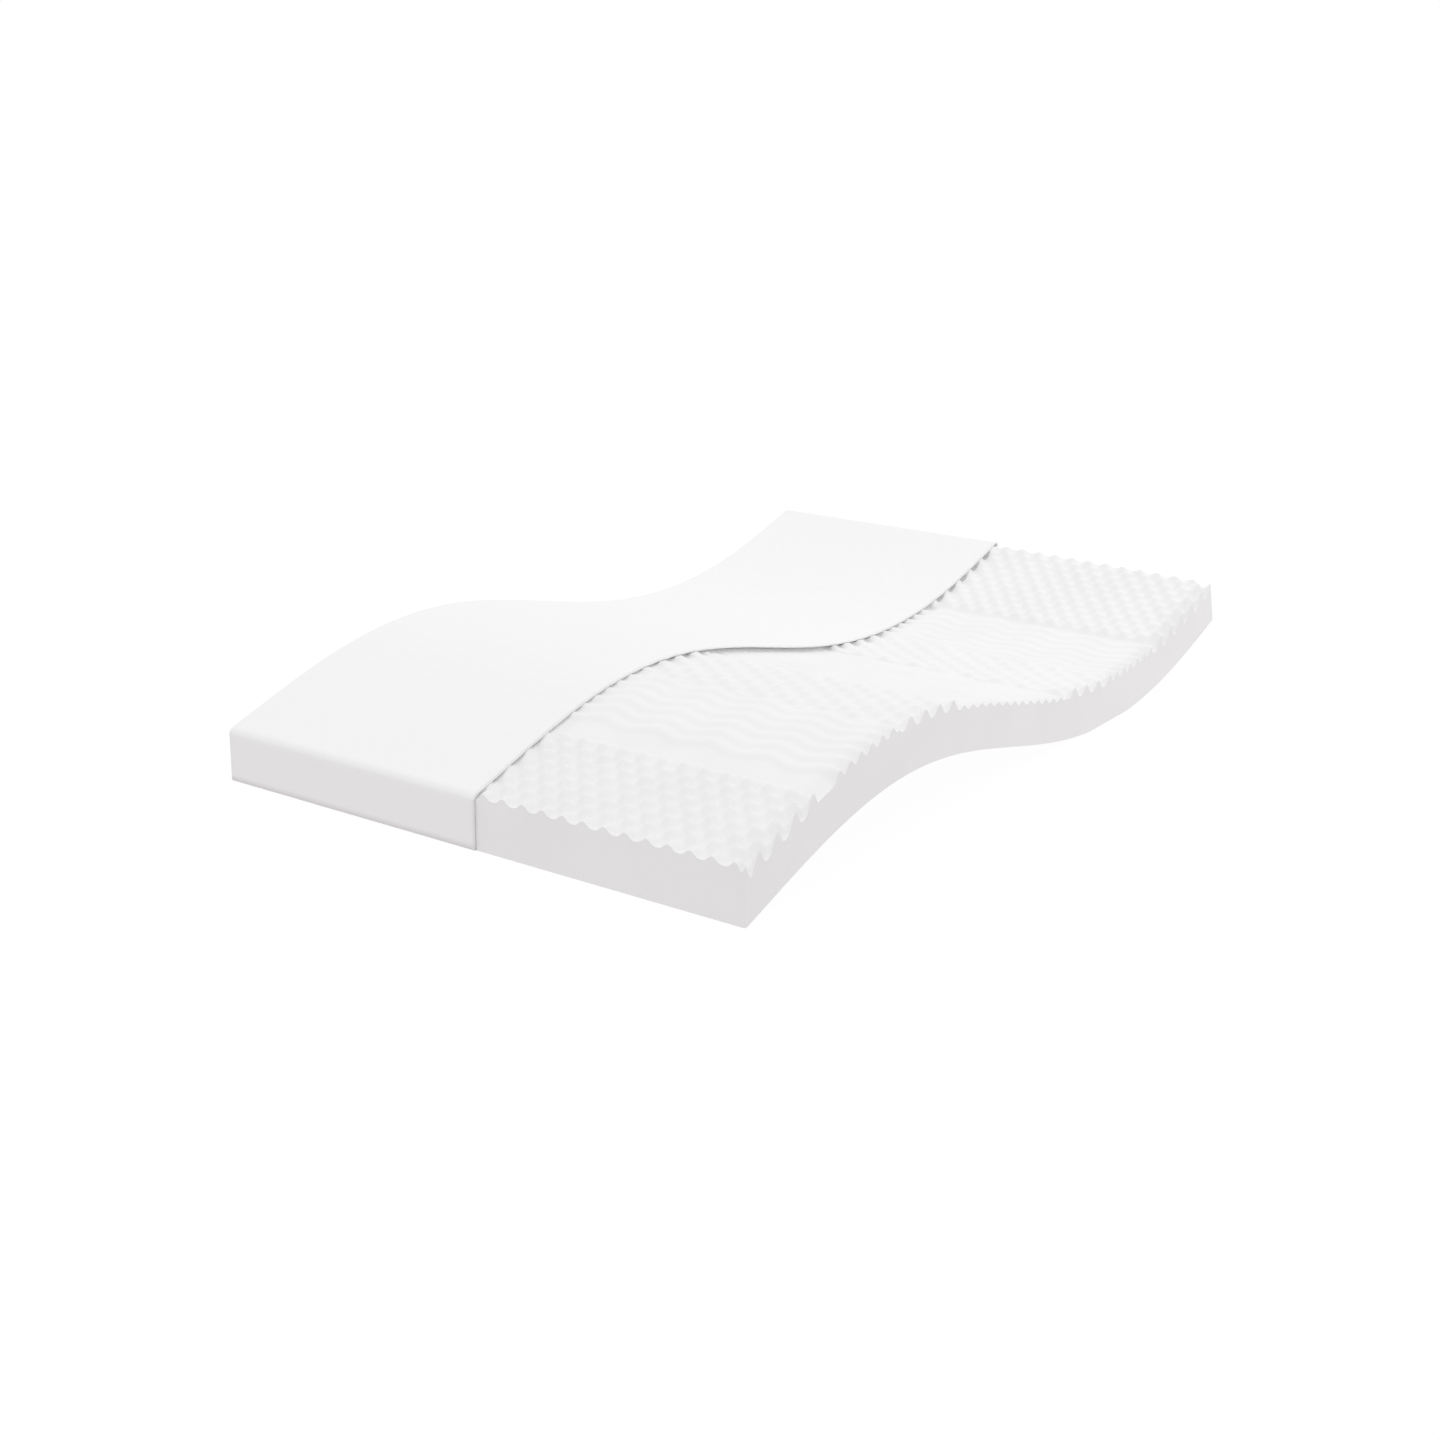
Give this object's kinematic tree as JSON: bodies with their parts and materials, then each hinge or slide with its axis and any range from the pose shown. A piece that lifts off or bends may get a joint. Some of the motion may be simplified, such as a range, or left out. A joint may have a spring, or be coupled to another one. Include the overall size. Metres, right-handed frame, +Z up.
{
  "type": "foam mattress",
  "caption": "Zoned egg-crate foam mattress lying in a shallow wave, its white fabric cover cut away lengthwise so that the profiled foam core shows beside it.",
  "frame": {"origin": "centre of the bounding box, on the plane that the mattress rests on", "axes": "+X along the length towards the head end, +Y across the width towards the covered side, +Z up"},
  "size_m": [1.9638, 1.2, 0.2297],
  "materials": {
    "white_foam": "white open-cell polyurethane foam, cut surface, fully matt",
    "white_knit": "white fine-knit polyester jersey, matt"
  },
  "bodies": {
    "root": {"foam_core": "white_foam", "cover": "white_knit"}
  },
  "joints": []
}
